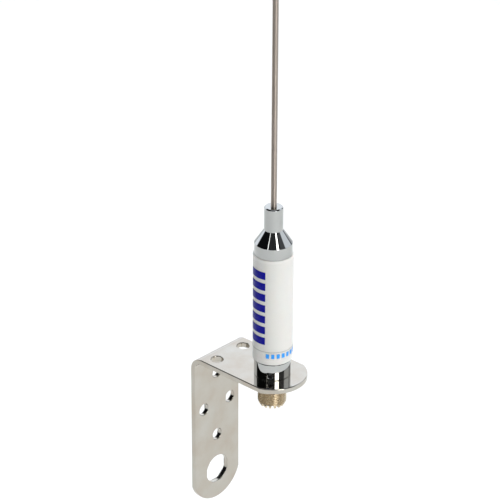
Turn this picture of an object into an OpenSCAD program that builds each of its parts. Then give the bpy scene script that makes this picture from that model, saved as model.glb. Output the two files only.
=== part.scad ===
// Whip antenna for a mast or a wall: a stainless L bracket carries a loading coil
// in a sleeved housing, with a coaxial socket below it and a long whip above it.
//
// Frame: the origin is the centre of the four small holes of the leg, on the leg's
// back face. +X points out of the wall, +Z points up along the whip.

/* [Bracket] */
// Width of the bent strip
bracket_w = 36; // [34:1:50]
// Thickness of the sheet
sheet_t = 3; // [2:0.5:4]
// Inside radius of the bend
bend_in_r = 5; // [2:0.5:8]
// Distance from the back face to the antenna's axis
flange_reach = 45.25; // [38:0.25:70]
// How much the flange's end radius exceeds half the strip's width
flange_end_extra = 1.4; // [0.1:0.1:3]
// How much the leg's end radius exceeds half the strip's width
leg_end_extra = 0.9; // [0.1:0.1:3]
// Diameter of the small fixing holes
fixing_hole_d = 7; // [4:0.5:8.5]
// Distance from the back face to the two holes of the flange
flange_hole_x = 13.3; // [13:0.1:18]
// Distance between the two holes of the flange
flange_hole_pitch = 21; // [16:0.5:24]
// Distance from the flange's top to the middle of the four leg holes
leg_hole_drop = 37; // [34:0.5:60]
// Distance between the two leg holes that are level with each other
leg_hole_pitch_y = 21; // [16:0.5:24]
// Distance between the two leg holes that lie one above the other
leg_hole_pitch_z = 41; // [30:0.5:44]
// Diameter of the cable hole at the foot of the leg
cable_hole_d = 17; // [12:0.5:24]
// Distance from the middle of the four leg holes down to the cable hole
cable_hole_drop = 43.7; // [42:0.1:80]

/* [Base and sleeve] */
// Outside diameter of the base and of the coil housing
body_d = 20.4; // [20:0.1:26]
// Height of the part of the base that shows below the sleeve
base_h = 10.3; // [8:0.1:16]
// Length that the sleeve laps over the base and over the ferrule
lap = 4; // [2:0.5:5]
// Length of the base's spigot inside the housing
spigot_l = 10; // [8:0.5:14]
// Wall of the coil housing
housing_wall = 2; // [1:0.25:2.5]
// Length of the sleeve
sleeve_l = 63.2; // [56:0.1:90]
// Wall of the sleeve
sleeve_wall = 0.7; // [0.4:0.1:1.5]
// Thickness of the clear label film
film_t = 0.1; // [0.05:0.05:0.2]
// Bare sleeve left below the film, and half as much above it
film_margin = 3; // [1:0.5:6]

/* [Coaxial socket] */
// Outside diameter of the thread, a 5/8 in 24 turns per inch thread
thread_d = 15.875; // [15.5:0.005:16]
// How much wider than the thread the plain pilot in the flange's hole is
pilot_extra = 0.625; // [0.525:0.1:1.225]
// Diameter of the shank that is held in the base
shank_d = 14.4; // [13:0.1:15]
// Length of the shank in the base
shank_l = 9.4; // [8:0.1:11]
// Length of thread below the flange
thread_l = 14.1; // [10:0.1:18]
// Length of the tapered, toothed end
tooth_l = 2.3; // [1.5:0.1:3]
// Outside diameter at the tips of the teeth
tooth_tip_d = 13.6; // [12.8:0.1:14.5]
// Number of teeth
tooth_count = 16; // [8:1:20]
// Depth of the notches between the teeth
notch_depth = 1.6; // [0.8:0.1:2]
// Width of the notches between the teeth
notch_w = 1.25; // [0.8:0.05:1.5]
// Bore of the socket's shell
shell_bore_d = 12.2; // [11:0.1:12.4]
// Height of the lip that stops the insulator at the toothed end
lip_step = 0.5; // [0.3:0.1:1]
// Distance from the tips of the teeth back to the insulator's face
insulator_recess = 3.2; // [1:0.1:5]
// Distance from the tips of the teeth back to the insulator's shoulder
lip_l = 5.2; // [4:0.1:7]
// Outside diameter of the contact tube
contact_d = 5.2; // [5:0.1:6]
// Bore of the contact tube, for a 4 mm pin
contact_bore_d = 4; // [3.5:0.1:4.4]
// Depth of the contact's bore
contact_bore_l = 9; // [7:0.5:12]
// Diameter of the contact's collar, held between the insulators
collar_d = 8; // [7:0.1:9]
// Thickness of the contact's collar
collar_t = 1.2; // [0.8:0.1:2]
// Length of the rear insulator behind the contact's collar
rear_insulator_l = 4.2; // [2:0.1:5]
// Length of the contact's solder tail above the shank
tail_l = 3; // [1:0.5:6]
// Diameter of the contact's solder tail
tail_d = 2.4; // [1.6:0.1:3]
// Width of the contact tube's four slots
slot_w = 0.4; // [0.2:0.1:0.6]
// Length of the contact tube's four slots
slot_l = 6; // [3:0.5:8]
// Thickness of the ring that keeps the insulators in
ring_t = 1; // [0.6:0.1:1.5]

/* [Ferrule and whip] */
// Diameter of the ferrule's wide collar
ferrule_d = 20.7; // [20.2:0.1:26]
// Height of the wide collar above the sleeve
ferrule_collar_h = 6.55; // [4:0.05:10]
// Height of the cone
cone_h = 7.65; // [5:0.05:12]
// Diameter of the neck
neck_d = 10.3; // [9:0.1:12]
// Height of the neck
neck_h = 13.3; // [10:0.1:20]
// Chamfer round the top of the neck
neck_chamfer = 0.4; // [0.2:0.1:1]
// Length of the ferrule's spigot inside the housing
ferrule_spigot_l = 8; // [7:0.5:12]
// Diameter of the whip
whip_d = 3.2; // [2:0.1:4]
// Length of the whip above the ferrule
whip_l = 800; // [400:10:1200]
// Depth of the whip in the ferrule
whip_seat = 24; // [18:0.5:30]
// Radial running clearance of the whip in the ferrule
whip_play = 0.05; // [0.02:0.01:0.1]

/* [Loading coil] */
// Diameter of the coil former
former_d = 11; // [9:0.5:12]
// Radial gap between the coil's wire and its former
coil_play = 0.1; // [0.1:0.05:0.3]
// Diameter of the passage through the base for the feed lead
lead_way_d = 9; // [4:0.5:10]
// Depth of the former in the base and in the ferrule
former_seat = 5; // [3:0.5:6]
// Diameter of the coil's wire
wire_d = 1; // [0.6:0.1:1.4]
// Number of turns of the coil
coil_turns = 13; // [6:1:14]
// Number of turns from the coil's foot to its tap
tap_turn = 3; // [1:1:5]
// Bare length of former at each end of the winding
coil_margin = 3; // [2:0.5:4]

/* [Seals and screws] */
// Thickness of the sealing rings
o_ring_t = 1.5; // [1:0.1:1.8]
// Diameter of the grub screws
grub_d = 3; // [2:0.5:4]
// Width across the flats of the grub screws' hexagon sockets
grub_hex = 1.5; // [1.3:0.1:2]
// How far the grub screws stand below the surface
grub_sink = 0.4; // [0.1:0.1:0.6]
// Height of the base's grub screw above the flange
base_grub_z = 2.9; // [2.5:0.1:5]
// Direction of the base's grub screw, in degrees round the axis
base_grub_angle = -54; // [-180:1:180]
// Distance of the neck's grub screws from the neck's top and from each other
neck_grub_step = 4.2; // [3.5:0.1:5]
// Direction of the neck's grub screws, in degrees round the axis
neck_grub_angle = 128; // [-180:1:180]

/* [Hidden] */

$fn = 96;
// Gap left between nested pieces that are assembled by hand
ease = 0.05;
// Overlap that lets a cut pass through a face cleanly
cut = 1;

// Heights above the flange's top, for everything on the antenna's axis
flange_bottom_z = -sheet_t;
thread_end_z = flange_bottom_z - thread_l;
tooth_tip_z = thread_end_z - tooth_l;
insulator_face_z = tooth_tip_z + insulator_recess;
bore_end_z = insulator_face_z + contact_bore_l;
lip_z = tooth_tip_z + lip_l;
ring_top_z = shank_l - ring_t;
contact_collar_z = ring_top_z - ring_t - rear_insulator_l - collar_t;
tail_top_z = shank_l + tail_l;

base_shoulder_z = base_h + lap;
base_top_z = base_shoulder_z + spigot_l;
sleeve_top_z = base_h + sleeve_l;
ferrule_shoulder_z = sleeve_top_z - lap;
ferrule_foot_z = ferrule_shoulder_z - ferrule_spigot_l;
cone_foot_z = sleeve_top_z + ferrule_collar_h;
neck_foot_z = cone_foot_z + cone_h;
ferrule_top_z = neck_foot_z + neck_h;
whip_foot_z = ferrule_top_z - whip_seat;

pilot_d = thread_d + pilot_extra;
lip_bore_d = shell_bore_d - 2 * lip_step;

housing_bore_d = body_d - 2 * housing_wall;
spigot_d = housing_bore_d - 2 * ease;
sleeve_bore_d = body_d + 2 * ease;
sleeve_d = sleeve_bore_d + 2 * sleeve_wall;
film_d = sleeve_d + 2 * ease + 2 * film_t;

former_foot_z = base_top_z - former_seat;
former_top_z = ferrule_foot_z + former_seat;
coil_foot_z = base_top_z + coil_margin;
coil_top_z = ferrule_foot_z - coil_margin;
coil_pitch = (coil_top_z - coil_foot_z) / coil_turns;
coil_r = former_d / 2 + coil_play + wire_d / 2;
tap_z = coil_foot_z + tap_turn * coil_pitch;
lead_bore_d = wire_d + 1;
// Path points in each turn of the coil, and sides of its wire
coil_steps = 20;
wire_sides = 6;

bend_out_r = bend_in_r + sheet_t;
flange_end_r = bracket_w / 2 + flange_end_extra;
leg_end_r = bracket_w / 2 + leg_end_extra;
leg_foot_z = -cable_hole_drop - leg_end_r;
leg_l = leg_hole_drop - leg_foot_z;

// Colours of the finishes
polished_steel = [0.83, 0.82, 0.79];
chrome = [0.78, 0.79, 0.80];
nickel_brass = [0.66, 0.58, 0.45];
white_vinyl = [0.93, 0.92, 0.89];
ptfe = [0.95, 0.95, 0.92];
gold = [0.85, 0.68, 0.30];
copper = [0.72, 0.40, 0.22];
black_rubber = [0.08, 0.08, 0.08];
blackened_steel = [0.20, 0.20, 0.21];
clear_film = [0.80, 0.86, 0.95, 0.5];
glass_epoxy = [0.72, 0.70, 0.50];

// ---- helpers ----

// Puts its children on the antenna's axis, with z = 0 at the flange's top
module on_axis() {
    translate([flange_reach, 0, leg_hole_drop])
        children();
}

// A round bar from one height to another
module bar(d, z0, z1) {
    translate([0, 0, z0])
        cylinder(d = d, h = z1 - z0);
}

// A hole from one height to another, open past the ends that are named
module hole(d, z0, z1, open_low = false, open_high = false) {
    bar(d, z0 - (open_low ? cut : 0), z1 + (open_high ? cut : 0));
}

// Turns its children from the +X axis to a direction round the antenna's axis
module facing(angle, z) {
    rotate([0, 0, angle])
        translate([0, 0, z])
            rotate([0, 90, 0])
                children();
}

// A grub screw along +Z, with its hexagon socket in its top end
module grub_screw(length) {
    difference() {
        cylinder(d = grub_d - 2 * ease, h = length);
        translate([0, 0, length * 0.4])
            cylinder(d = grub_hex / cos(30), h = length, $fn = 6);
    }
}

// The seat of a sealing ring in a spigot, centred at a height
module o_ring_groove(z) {
    difference() {
        bar(housing_bore_d + cut, z - o_ring_t / 2 - ease, z + o_ring_t / 2 + ease);
        bar(housing_bore_d - 2 * o_ring_t - 4 * ease, z - o_ring_t, z + o_ring_t);
    }
}

// A sealing ring that just reaches the housing's bore
module o_ring(z) {
    translate([0, 0, z])
        rotate_extrude()
            translate([housing_bore_d / 2 - ease - o_ring_t / 2, 0])
                circle(d = o_ring_t, $fn = 24);
}

// ---- bracket ----

// The bent strip's section, a quarter turn between two straight runs
module bracket_section() {
    corner = [bend_out_r, leg_hole_drop - bend_out_r];
    translate([0, leg_foot_z])
        square([sheet_t, leg_l - bend_out_r]);
    translate([bend_out_r, leg_hole_drop - sheet_t])
        square([flange_reach + flange_end_r - bend_out_r, sheet_t]);
    translate(corner)
        intersection() {
            difference() {
                circle(r = bend_out_r);
                circle(r = bend_in_r);
            }
            translate([-bend_out_r, 0])
                square(bend_out_r);
        }
}

// The leg's outline, seen from the front, with a rounded foot
module leg_outline() {
    translate([-bracket_w / 2, -cable_hole_drop])
        square([bracket_w, cable_hole_drop + leg_hole_drop]);
    intersection() {
        translate([0, -cable_hole_drop])
            circle(r = leg_end_r);
        translate([-bracket_w / 2, leg_foot_z - cut])
            square([bracket_w, leg_end_r + cut]);
    }
}

// The flange's outline, seen from above, with a rounded end
module flange_outline() {
    translate([0, -bracket_w / 2])
        square([flange_reach, bracket_w]);
    intersection() {
        translate([flange_reach, 0])
            circle(r = flange_end_r);
        translate([flange_reach, -bracket_w / 2])
            square([flange_end_r + cut, bracket_w]);
    }
}

// Everything that is drilled in the leg
module leg_holes() {
    for (side = [-1, 1])
        translate([-cut, side * leg_hole_pitch_y / 2, 0])
            rotate([0, 90, 0])
                cylinder(d = fixing_hole_d, h = sheet_t + 2 * cut);
    for (side = [-1, 1])
        translate([-cut, 0, side * leg_hole_pitch_z / 2])
            rotate([0, 90, 0])
                cylinder(d = fixing_hole_d, h = sheet_t + 2 * cut);
    translate([-cut, 0, -cable_hole_drop])
        rotate([0, 90, 0])
            cylinder(d = cable_hole_d, h = sheet_t + 2 * cut);
}

// Everything that is drilled in the flange
module flange_holes() {
    for (side = [-1, 1])
        translate([flange_hole_x, side * flange_hole_pitch / 2, leg_hole_drop - sheet_t - cut])
            cylinder(d = fixing_hole_d, h = sheet_t + 2 * cut);
    on_axis()
        bar(pilot_d + 2 * ease, flange_bottom_z - cut, cut);
}

module bracket() {
    color(polished_steel)
        difference() {
            intersection() {
                translate([0, bracket_w / 2, 0])
                    rotate([90, 0, 0])
                        linear_extrude(bracket_w)
                            bracket_section();
                union() {
                    rotate([90, 0, 90])
                        linear_extrude(bend_out_r)
                            leg_outline();
                    translate([0, 0, leg_hole_drop - bend_out_r])
                        linear_extrude(bend_out_r)
                            flange_outline();
                }
            }
            leg_holes();
            flange_holes();
        }
}

// ---- base ----

module base() {
    color(chrome)
        on_axis()
            difference() {
                union() {
                    bar(body_d, 0, base_shoulder_z);
                    bar(spigot_d, base_shoulder_z, base_top_z);
                }
                hole(shank_d + 2 * ease, 0, shank_l + ease, open_low = true);
                hole(lead_way_d, shank_l, former_foot_z, open_high = true);
                hole(former_d + 2 * ease, former_foot_z - ease, base_top_z, open_high = true);
                o_ring_groove((base_shoulder_z + base_top_z) / 2);
                facing(base_grub_angle, base_grub_z)
                    bar(grub_d, 0, body_d);
            }
}

module base_grub_screw() {
    foot_r = shank_d / 2 + ease;
    color(blackened_steel)
        on_axis()
            facing(base_grub_angle, base_grub_z)
                translate([0, 0, foot_r])
                    grub_screw(body_d / 2 - grub_sink - foot_r);
}

// ---- coaxial socket ----

module connector_shell() {
    color(nickel_brass)
        on_axis()
            difference() {
                union() {
                    bar(shank_d, 0, shank_l);
                    bar(pilot_d, flange_bottom_z, 0);
                    bar(thread_d, thread_end_z, flange_bottom_z);
                    translate([0, 0, tooth_tip_z])
                        cylinder(d1 = tooth_tip_d, d2 = thread_d, h = tooth_l);
                }
                hole(lip_bore_d, tooth_tip_z, lip_z, open_low = true);
                hole(shell_bore_d, lip_z, shank_l, open_high = true);
                for (i = [0 : tooth_count - 1])
                    rotate([0, 0, i * 360 / tooth_count])
                        translate([lip_bore_d / 2 - cut, -notch_w / 2, tooth_tip_z - cut])
                            cube([thread_d / 2, notch_w, notch_depth + cut]);
            }
}

module front_insulator() {
    color(ptfe)
        on_axis()
            difference() {
                union() {
                    bar(lip_bore_d - 2 * ease, insulator_face_z, contact_collar_z - ease);
                    bar(shell_bore_d - 2 * ease, lip_z + ease, contact_collar_z - ease);
                }
                hole(contact_d + 2 * ease, insulator_face_z, contact_collar_z, true, true);
            }
}

module rear_insulator() {
    foot_z = contact_collar_z;
    color(ptfe)
        on_axis()
            difference() {
                bar(shell_bore_d - 2 * ease, foot_z, ring_top_z - ring_t - ease);
                hole(collar_d + 2 * ease, foot_z, foot_z + collar_t + ease, open_low = true);
                hole(tail_d + 2 * ease, foot_z, ring_top_z, true, true);
            }
}

module insulator_ring() {
    color(nickel_brass)
        on_axis()
            difference() {
                bar(shell_bore_d - 2 * ease, ring_top_z - ring_t, ring_top_z);
                bar(collar_d, ring_top_z - 2 * ring_t, ring_top_z + ring_t);
            }
}

module centre_contact() {
    color(gold)
        on_axis()
            difference() {
                union() {
                    bar(contact_d, insulator_face_z, contact_collar_z);
                    bar(collar_d, contact_collar_z, contact_collar_z + collar_t);
                    bar(tail_d, contact_collar_z, tail_top_z);
                }
                hole(contact_bore_d, insulator_face_z, bore_end_z, open_low = true);
                for (angle = [45, 135])
                    rotate([0, 0, angle])
                        translate([-contact_d, -slot_w / 2, insulator_face_z - cut])
                            cube([2 * contact_d, slot_w, slot_l + cut]);
            }
}

// ---- housing, sleeve and film ----

module coil_housing() {
    color(glass_epoxy)
        on_axis()
            difference() {
                bar(body_d, base_shoulder_z + ease, ferrule_shoulder_z - ease);
                hole(housing_bore_d, base_shoulder_z, ferrule_shoulder_z, true, true);
            }
}

module sleeve() {
    color(white_vinyl)
        on_axis()
            difference() {
                bar(sleeve_d, base_h, sleeve_top_z);
                hole(sleeve_bore_d, base_h, sleeve_top_z, true, true);
            }
}

module label_film() {
    color(clear_film)
        on_axis()
            difference() {
                bar(film_d, base_h + film_margin, sleeve_top_z - film_margin / 2);
                hole(sleeve_d + 2 * ease, base_h, sleeve_top_z, true, true);
            }
}

module lower_o_ring() {
    color(black_rubber)
        on_axis()
            o_ring((base_shoulder_z + base_top_z) / 2);
}

module upper_o_ring() {
    color(black_rubber)
        on_axis()
            o_ring((ferrule_foot_z + ferrule_shoulder_z) / 2);
}

// ---- loading coil ----

module coil_former() {
    color(ptfe)
        on_axis()
            difference() {
                bar(former_d, former_foot_z, former_top_z);
                hole(lead_bore_d, former_foot_z, tap_z + lead_bore_d / 2, open_low = true);
                facing(0, tap_z)
                    bar(lead_bore_d, 0, former_d);
            }
}

// Points of the wire's centre line: up from the base, round the former, up to the ferrule
function coil_point(i) =
    let (a = i * 360 / coil_steps)
    [coil_r * cos(a), coil_r * sin(a), coil_foot_z + i * coil_pitch / coil_steps];
coil_path = concat(
    [[coil_r, 0, base_top_z + ease]],
    [for (i = [0 : coil_turns * coil_steps]) coil_point(i)],
    [[coil_r, 0, ferrule_foot_z - ease]]
);

// A ring of points round the wire, at one point of a path that runs round the axis
function unit(v) = v / norm(v);
function wire_ring(path, i) =
    let (
        last = len(path) - 1,
        ahead = path[min(i + 1, last)],
        behind = path[max(i - 1, 0)],
        along = unit(i == 0 || i == last ? [0, 0, 1] : ahead - behind),
        out = unit([path[i][0], path[i][1], 0]),
        side = unit(cross(along, out)),
        outward = cross(side, along)
    )
    [for (k = [0 : wire_sides - 1])
        let (a = k * 360 / wire_sides)
        path[i] + wire_d / 2 * (cos(a) * outward + sin(a) * side)];

// A closed tube swept along a path
module wire_along(path) {
    rings = len(path);
    points = [for (i = [0 : rings - 1]) each wire_ring(path, i)];
    walls = [for (i = [0 : rings - 2], k = [0 : wire_sides - 1])
        let (next = (k + 1) % wire_sides)
        [i * wire_sides + k, i * wire_sides + next,
         (i + 1) * wire_sides + next, (i + 1) * wire_sides + k]];
    foot = [for (k = [wire_sides - 1 : -1 : 0]) k];
    head = [for (k = [0 : wire_sides - 1]) (rings - 1) * wire_sides + k];
    polyhedron(points, concat([foot], walls, [head]));
}

module coil() {
    color(copper)
        on_axis()
            wire_along(coil_path);
}

// From the contact's tail up the former's bore, and out to the coil's tap
module feed_lead() {
    color(copper)
        on_axis() {
            bar(wire_d, tail_top_z + ease, tap_z);
            translate([0, 0, tap_z])
                sphere(d = wire_d);
            facing(0, tap_z)
                bar(wire_d, 0, coil_r - wire_d / 2 - ease);
        }
}

// ---- ferrule and whip ----

module ferrule() {
    color(chrome)
        on_axis()
            difference() {
                union() {
                    bar(spigot_d, ferrule_foot_z, ferrule_shoulder_z);
                    bar(body_d, ferrule_shoulder_z, sleeve_top_z);
                    bar(ferrule_d, sleeve_top_z, cone_foot_z);
                    translate([0, 0, cone_foot_z])
                        cylinder(d1 = ferrule_d, d2 = neck_d, h = cone_h);
                    bar(neck_d, neck_foot_z, ferrule_top_z - neck_chamfer);
                    translate([0, 0, ferrule_top_z - neck_chamfer])
                        cylinder(d1 = neck_d, d2 = neck_d - 2 * neck_chamfer, h = neck_chamfer);
                }
                hole(former_d + 2 * ease, ferrule_foot_z, former_top_z + ease, open_low = true);
                hole(whip_d + 2 * whip_play, whip_foot_z, ferrule_top_z, open_high = true);
                o_ring_groove((ferrule_foot_z + ferrule_shoulder_z) / 2);
                for (i = [1, 2])
                    facing(neck_grub_angle, ferrule_top_z - i * neck_grub_step)
                        bar(grub_d, 0, neck_d);
            }
}

module whip_grub_screws() {
    foot_r = whip_d / 2 + whip_play;
    color(blackened_steel)
        on_axis()
            for (i = [1, 2])
                facing(neck_grub_angle, ferrule_top_z - i * neck_grub_step)
                    translate([0, 0, foot_r])
                        grub_screw(neck_d / 2 - grub_sink - foot_r);
}

module whip() {
    tip_z = ferrule_top_z + whip_l;
    color(polished_steel)
        on_axis() {
            bar(whip_d, whip_foot_z, tip_z - whip_d / 2);
            translate([0, 0, tip_z - whip_d / 2])
                sphere(d = whip_d);
        }
}

bracket();
base();
base_grub_screw();
connector_shell();
front_insulator();
rear_insulator();
insulator_ring();
centre_contact();
coil_housing();
sleeve();
label_film();
lower_o_ring();
upper_o_ring();
coil_former();
coil();
feed_lead();
ferrule();
whip_grub_screws();
whip();
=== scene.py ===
"""Looks of a whip antenna on an L bracket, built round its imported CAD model.

Lengths in this file are millimetres and angles are degrees unless a name says
otherwise; skin_to_piece() turns them into metres as it makes each mesh. Heights of
what stands on the antenna's axis are measured from the flange's top.
"""

import bpy
import numpy as np
from mathutils import Matrix, Vector
from mathutils.geometry import delaunay_2d_cdt


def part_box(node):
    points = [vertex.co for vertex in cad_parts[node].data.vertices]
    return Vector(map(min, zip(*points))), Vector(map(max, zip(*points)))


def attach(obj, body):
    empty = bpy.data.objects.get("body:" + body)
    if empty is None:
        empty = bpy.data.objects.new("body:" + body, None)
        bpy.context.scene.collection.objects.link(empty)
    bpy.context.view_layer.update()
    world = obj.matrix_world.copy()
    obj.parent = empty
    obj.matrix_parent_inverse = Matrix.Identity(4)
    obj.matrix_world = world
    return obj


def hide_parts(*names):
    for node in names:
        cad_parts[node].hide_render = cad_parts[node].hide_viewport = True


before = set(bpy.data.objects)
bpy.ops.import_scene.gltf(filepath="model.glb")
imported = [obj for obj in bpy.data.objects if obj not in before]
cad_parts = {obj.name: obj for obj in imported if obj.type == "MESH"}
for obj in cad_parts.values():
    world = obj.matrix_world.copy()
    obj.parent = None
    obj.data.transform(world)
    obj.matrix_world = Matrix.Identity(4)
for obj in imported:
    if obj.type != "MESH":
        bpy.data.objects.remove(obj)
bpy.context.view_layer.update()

MM = 0.001

# ---- sizes, as the CAD model has them ----

BRACKET_LOW, BRACKET_HIGH = (np.array(corner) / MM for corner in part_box("bracket"))
WHIP_LOW, WHIP_HIGH = (np.array(corner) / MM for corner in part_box("whip"))
AXIS = (WHIP_LOW[:2] + WHIP_HIGH[:2]) / 2
FLANGE_TOP = BRACKET_HIGH[2]

# Bracket
SHEET_T = 3
BEND_R = 8
HALF_WIDTH = BRACKET_HIGH[1]
FLANGE_END_R = BRACKET_HIGH[0] - AXIS[0]
LEG_END_R = 18.9
LEG_END_Z = BRACKET_LOW[2] + LEG_END_R
FIXING_R = 3.5
CABLE_HOLE_R = 8.5
PILOT_HOLE_R = 8.3
FLANGE_HOLE_X = 13.3
HOLE_HALF_PITCH = 10.5
LEG_HOLE_HALF_PITCH_Z = 20.5

# Play between parts that fit inside one another
FIT = 0.05

# Base, sleeve and film
BODY_R = 10.2
BASE_H = 10.3
LAP = 4
SPIGOT_R = 8.15
SPIGOT_L = 10
O_RING_T = 1.5
O_RING_GROOVE_R = 6.6
SLEEVE_R = 10.95
SLEEVE_BORE_R = 10.25
SLEEVE_TOP = 73.5
FILM_R = 11.1
FILM_T = 0.1
FILM_Z = (13.3, 72.0)

# Socket: its thread is 5/8 in across, 24 turns to the inch
THREAD_R = 7.9375
THREAD_PITCH = 25.4 / 24
THREAD_DEPTH = 0.66
PILOT_R = 8.25
PILOT_FOOT = -3
SHANK_R = 7.2
SHANK_TOP = 9.4
SHANK_BORE_R = SHANK_R + FIT
SHANK_BORE_TOP = SHANK_TOP + FIT
THREAD_END = -17.1
TOOTH_TIP = -19.4
TOOTH_TIP_R = 6.8
TOOTH_COUNT = 16
NOTCH_W = 1.25
NOTCH_DEPTH = 1.6
LIP_R = 5.6
LIP_TOP = -14.2
SHELL_BORE_R = 6.1
INSULATOR_Z = (-16.2, 1.95)
CONTACT_R = 2.6
CONTACT_BORE_R = 2
# The collar's foot, top and radius, and the tail's radius and top
CONTACT_COLLAR = (2.0, 3.2, 4.0)
CONTACT_TAIL = (1.2, 12.4)
CONTACT_BORE_TOP = -7.2
SLOT_W = 0.4
SLOT_L = 6

# Ferrule, whip and coil former
COLLAR_R = 10.35
CONE_FOOT = 80.05
NECK_FOOT = 87.7
NECK_R = 5.15
NECK_TOP = 101
NECK_CHAMFER = 0.6
FERRULE_SHOULDER = 69.5
FERRULE_FOOT = 61.5
WHIP_R = 1.6
WHIP_HOLE_R = 1.65
WHIP_FOOT = 77
FORMER_BORE_R = 5.55
FORMER_FOOT = 19.3
FORMER_TOP = 66.5
LEAD_WAY_R = 4.5

# Grub screws, whose places are (height, direction round the axis)
GRUB_R = 1.5
GRUB_SCREW_R = 1.45
GRUB_HEX = 1.5
GRUB_CHAMFER = 0.2
GRUB_SINK = 0.4
# The pockets' flat floors, as distances from the axis
BASE_POCKET_FLOOR = SHANK_BORE_R + FIT
NECK_POCKET_FLOOR = 1.8
BASE_GRUB = (2.9, -54)
NECK_GRUBS = ((96.8, 128), (92.6, 128))

# Loading coil
COIL_R = 6.1
COIL_WIRE_R = 0.5
COIL_TURNS = 13
COIL_Z = (27.3, 58.5)
COIL_LEAD_Z = (24.35, 61.45)

# Small radii that turning, cutting and polishing leave on the edges
BRACKET_EDGE = 0.5
BRACKET_CORNER = 2.5
CRISP_EDGE = 0.05
SMALL_EDGE = 0.1
TURNED_EDGE = 0.12
BASE_FOOT_EDGE = 0.45
SPIGOT_EDGE = 0.3
SLEEVE_EDGE = 0.12
FILM_EDGE = 0.04
NOTCH_EDGE = 0.12
# A relief groove that a turning tool leaves where the sleeve meets a shoulder
RELIEF_W = 0.85
RELIEF_DEPTH = 0.6


# ---- surfaces ----
# A skin is (points, normals, faces): the points and normals are n by 3 arrays, and
# the faces are m by 4 rows of point numbers, with the last one repeated in a triangle.

def join(*skins):
    """One skin from several, with each one's point numbers moved past the last one's."""
    starts = np.cumsum([0] + [len(s[0]) for s in skins[:-1]])
    return (np.concatenate([s[0] for s in skins]),
            np.concatenate([s[1] for s in skins]),
            np.concatenate([s[2] + start for s, start in zip(skins, starts)]))


def grid_skin(points, normals, wrap_u=False, wrap_v=False, keep=None):
    """A skin from a grid: cell (i, j) is a face between rows i, i + 1 and columns j, j + 1.

    A wrapped direction joins its last line to its first. keep is a mask of the cells to
    use, for a wall with a window in it.
    """
    rows, columns = points.shape[:2]
    i, j = np.meshgrid(np.arange(rows - (not wrap_u)), np.arange(columns - (not wrap_v)),
                       indexing="ij")
    i2, j2 = (i + 1) % rows, (j + 1) % columns
    faces = np.stack([i * columns + j, i2 * columns + j,
                      i2 * columns + j2, i * columns + j2], axis=-1)
    faces = faces.reshape(-1, 4) if keep is None else faces[keep]
    return points.reshape(-1, 3), normals.reshape(-1, 3), faces


def weld(skin):
    """Joins points within a hundredth of a micrometre, and drops faces with no area left.

    A joined point keeps the mean of its normals. Each face is then turned, if need be,
    to face the way that the normals of its points do.
    """
    points, normals, faces = skin
    _, first, back = np.unique(np.round(points, 5), axis=0, return_index=True,
                               return_inverse=True)
    back = back.reshape(-1)
    summed = np.zeros((len(first), 3))
    np.add.at(summed, back, normals)
    summed /= np.maximum(np.linalg.norm(summed, axis=1, keepdims=True), 1e-9)
    points, faces = points[first], back[faces]
    a, b, c, d = (points[faces[:, k]] for k in range(4))
    facing = np.cross(c - a, d - b)
    flat = np.linalg.norm(facing, axis=1) < 1e-9
    distinct = np.sort(faces, axis=1)
    distinct = (np.diff(distinct, axis=1) > 0).sum(axis=1) + 1
    faces, facing, flat = (x[distinct > 2] for x in (faces, facing, flat))
    away = np.einsum("ij,ij->i", facing, summed[faces].sum(axis=1)) < 0
    faces[away] = faces[away][:, ::-1]
    return points, summed, faces[~flat]


def skin_to_piece(name, skin, material, body, nodes, on_axis=True, sharp=None):
    """A Blender object from a skin, in metres, that rides on a body and stands for nodes.

    It keeps the skin's own normals, unless sharp is given: Blender then works them out,
    with an edge left sharp where two faces meet at more than that many degrees.
    """
    points, normals, faces = weld(skin)
    if on_axis:
        points = points + np.array([AXIS[0], AXIS[1], FLANGE_TOP])
    polygons = [list(dict.fromkeys(face)) for face in faces.tolist()]
    mesh = bpy.data.meshes.new(name)
    mesh.from_pydata((points * MM).tolist(), [], polygons)
    mesh.polygons.foreach_set("use_smooth", [True] * len(mesh.polygons))
    if sharp is None:
        mesh.normals_split_custom_set_from_vertices(normals.tolist())
    else:
        mesh.set_sharp_from_angle(angle=np.radians(sharp))
    mesh.materials.append(material)
    mesh.update()
    piece = bpy.data.objects.new(name, mesh)
    bpy.context.scene.collection.objects.link(piece)
    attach(piece, body)
    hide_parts(*nodes)
    return piece


def turn(vectors, degrees):
    """Plane vectors turned anticlockwise."""
    c, s = np.cos(np.radians(degrees)), np.sin(np.radians(degrees))
    x, z = vectors[..., 0], vectors[..., 1]
    return np.stack([c * x - s * z, s * x + c * z], axis=-1)


# The most that an edge's arc turns between two of its points
ARC_STEP = 14


def section(corners, closed=False):
    """Points and normals along a section, from its corners as (radius, height, edge radius).

    The material lies to the left of the way round. Each corner becomes an arc that meets
    both its straights smoothly: its centre lies square to the straight before it, and its
    points are the centre plus the edge radius times the turning normal.
    """
    corners = np.array(corners, float)
    count = len(corners)
    points, normals = [], []
    for k in range(count):
        here, edge = corners[k, :2], corners[k, 2]
        ahead = corners[(k + 1) % count, :2] - here
        behind = here - corners[k - 1, :2]
        if not closed and k in (0, count - 1):
            way = ahead if k == 0 else behind
            points.append(here[None])
            normals.append(turn(way[None] / np.linalg.norm(way), -90))
            continue
        ahead /= np.linalg.norm(ahead)
        behind /= np.linalg.norm(behind)
        angle = np.degrees(np.arctan2(behind[0] * ahead[1] - behind[1] * ahead[0],
                                      behind @ ahead))
        if abs(angle) < 0.01:
            points.append(here[None])
            normals.append(turn(behind[None], -90))
            continue
        start = here - behind * edge * np.tan(np.radians(abs(angle) / 2))
        side = np.sign(angle)
        steps = np.linspace(0, angle, 2 + int(abs(angle) // ARC_STEP))
        out = turn(np.repeat(turn(behind[None], -90), len(steps), axis=0), steps)
        points.append(start + side * edge * (out - out[:1]))
        normals.append(out)
    return np.concatenate(points), np.concatenate(normals)


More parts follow.
